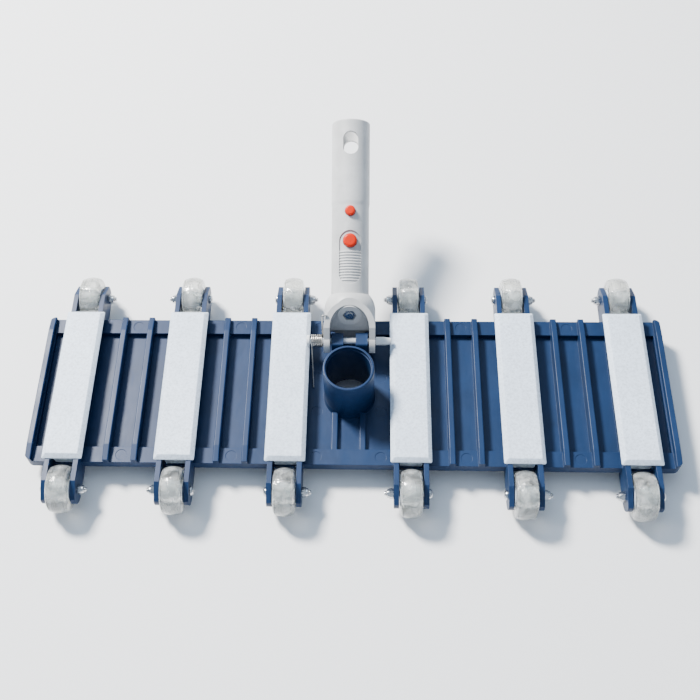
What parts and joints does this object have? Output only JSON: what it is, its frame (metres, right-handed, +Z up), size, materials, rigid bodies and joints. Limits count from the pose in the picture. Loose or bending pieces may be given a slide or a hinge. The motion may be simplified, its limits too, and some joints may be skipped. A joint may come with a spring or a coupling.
{
  "type": "pool vacuum head",
  "caption": "Wide flexible pool vacuum head: ribbed deck with cross weights and forked wheels, central suction tube and a sprung hinged handle with a pole latch.",
  "frame": {"origin": "centre of the suction tube's mouth, on the tube's axis", "axes": "+X right along the deck's width, +Y to the rear, where the handle hinges, +Z up along the suction tube"},
  "size_m": [0.484, 0.2982, 0.1218],
  "materials": {
    "deck_plastic": "navy blue moulded plastic, satin",
    "weight_coating": "pale blue-white fine-grained powder coat",
    "tyre_clear": "translucent soft plastic",
    "hub_plastic": "bluish white plastic",
    "stainless": "stainless steel",
    "spring_steel": "drawn spring wire",
    "pin_plastic": "off-white nylon",
    "handle_plastic": "light warm grey moulded plastic",
    "button_plastic": "orange-red plastic"
  },
  "bodies": {
    "deck": {"deck": "deck_plastic", "weight_1": "weight_coating", "weight_2": "weight_coating", "weight_3": "weight_coating", "weight_4": "weight_coating", "weight_5": "weight_coating", "weight_6": "weight_coating", "axle_bolts": "stainless", "axle_nuts": "stainless", "weight_screws": "stainless", "hinge_pin": "pin_plastic", "torsion_spring": "spring_steel"},
    "wheel_front_1": {"tyre_front_1": "tyre_clear", "hub_front_1": "hub_plastic"},
    "wheel_front_2": {"tyre_front_2": "tyre_clear", "hub_front_2": "hub_plastic"},
    "wheel_front_3": {"tyre_front_3": "tyre_clear", "hub_front_3": "hub_plastic"},
    "wheel_front_4": {"tyre_front_4": "tyre_clear", "hub_front_4": "hub_plastic"},
    "wheel_front_5": {"tyre_front_5": "tyre_clear", "hub_front_5": "hub_plastic"},
    "wheel_front_6": {"tyre_front_6": "tyre_clear", "hub_front_6": "hub_plastic"},
    "wheel_rear_1": {"tyre_rear_1": "tyre_clear", "hub_rear_1": "hub_plastic"},
    "wheel_rear_2": {"tyre_rear_2": "tyre_clear", "hub_rear_2": "hub_plastic"},
    "wheel_rear_3": {"tyre_rear_3": "tyre_clear", "hub_rear_3": "hub_plastic"},
    "wheel_rear_4": {"tyre_rear_4": "tyre_clear", "hub_rear_4": "hub_plastic"},
    "wheel_rear_5": {"tyre_rear_5": "tyre_clear", "hub_rear_5": "hub_plastic"},
    "wheel_rear_6": {"tyre_rear_6": "tyre_clear", "hub_rear_6": "hub_plastic"},
    "handle": {"yoke": "handle_plastic", "yoke_screw": "stainless", "handle_tube": "handle_plastic", "latch_leaf": "spring_steel", "latch_rivet": "stainless"},
    "release_button": {"release_button": "button_plastic"},
    "lock_button": {"lock_button": "button_plastic"}
  },
  "joints": [
    {"name": "wheel_front_1_spin", "type": "hinge", "parent": "deck", "child": "wheel_front_1", "pos_m": [-0.2118, -0.08115, -0.04165], "axis": [1, 0, 0], "continuous": true},
    {"name": "wheel_front_2_spin", "type": "hinge", "parent": "deck", "child": "wheel_front_2", "pos_m": [-0.1281, -0.08115, -0.04165], "axis": [1, 0, 0], "continuous": true},
    {"name": "wheel_front_3_spin", "type": "hinge", "parent": "deck", "child": "wheel_front_3", "pos_m": [-0.0462, -0.08115, -0.04165], "axis": [1, 0, 0], "continuous": true},
    {"name": "wheel_front_4_spin", "type": "hinge", "parent": "deck", "child": "wheel_front_4", "pos_m": [0.0462, -0.08115, -0.04165], "axis": [1, 0, 0], "continuous": true},
    {"name": "wheel_front_5_spin", "type": "hinge", "parent": "deck", "child": "wheel_front_5", "pos_m": [0.1281, -0.08115, -0.04165], "axis": [1, 0, 0], "continuous": true},
    {"name": "wheel_front_6_spin", "type": "hinge", "parent": "deck", "child": "wheel_front_6", "pos_m": [0.2118, -0.08115, -0.04165], "axis": [1, 0, 0], "continuous": true},
    {"name": "wheel_rear_1_spin", "type": "hinge", "parent": "deck", "child": "wheel_rear_1", "pos_m": [-0.2118, 0.08655, -0.04165], "axis": [1, 0, 0], "continuous": true},
    {"name": "wheel_rear_2_spin", "type": "hinge", "parent": "deck", "child": "wheel_rear_2", "pos_m": [-0.1281, 0.08655, -0.04165], "axis": [1, 0, 0], "continuous": true},
    {"name": "wheel_rear_3_spin", "type": "hinge", "parent": "deck", "child": "wheel_rear_3", "pos_m": [-0.0462, 0.08655, -0.04165], "axis": [1, 0, 0], "continuous": true},
    {"name": "wheel_rear_4_spin", "type": "hinge", "parent": "deck", "child": "wheel_rear_4", "pos_m": [0.0462, 0.08655, -0.04165], "axis": [1, 0, 0], "continuous": true},
    {"name": "wheel_rear_5_spin", "type": "hinge", "parent": "deck", "child": "wheel_rear_5", "pos_m": [0.1281, 0.08655, -0.04165], "axis": [1, 0, 0], "continuous": true},
    {"name": "wheel_rear_6_spin", "type": "hinge", "parent": "deck", "child": "wheel_rear_6", "pos_m": [0.2118, 0.08655, -0.04165], "axis": [1, 0, 0], "continuous": true},
    {"name": "handle_tilt", "type": "hinge", "parent": "deck", "child": "handle", "pos_m": [0, 0.037, -0.02375], "axis": [1, 0, 0], "range_deg": [0, 60], "stiffness_Nm_per_rad": 0.25, "springref_deg": -22.92, "deforming": ["torsion_spring"]},
    {"name": "release_press", "type": "slide", "parent": "handle", "child": "release_button", "axis": [0, 0.4226, -0.9063], "range_m": [0, 0.0016], "stiffness_N_per_m": 1500, "springref_m": -0.001, "deforming": ["latch_leaf"]},
    {"name": "lock_press", "type": "slide", "parent": "handle", "child": "lock_button", "axis": [0, 0.4226, -0.9063], "range_m": [0, 0.0031]}
  ],
  "couplings": [
    {"joint": "lock_press", "follows": "release_press", "ratio": 1.8817}
  ]
}
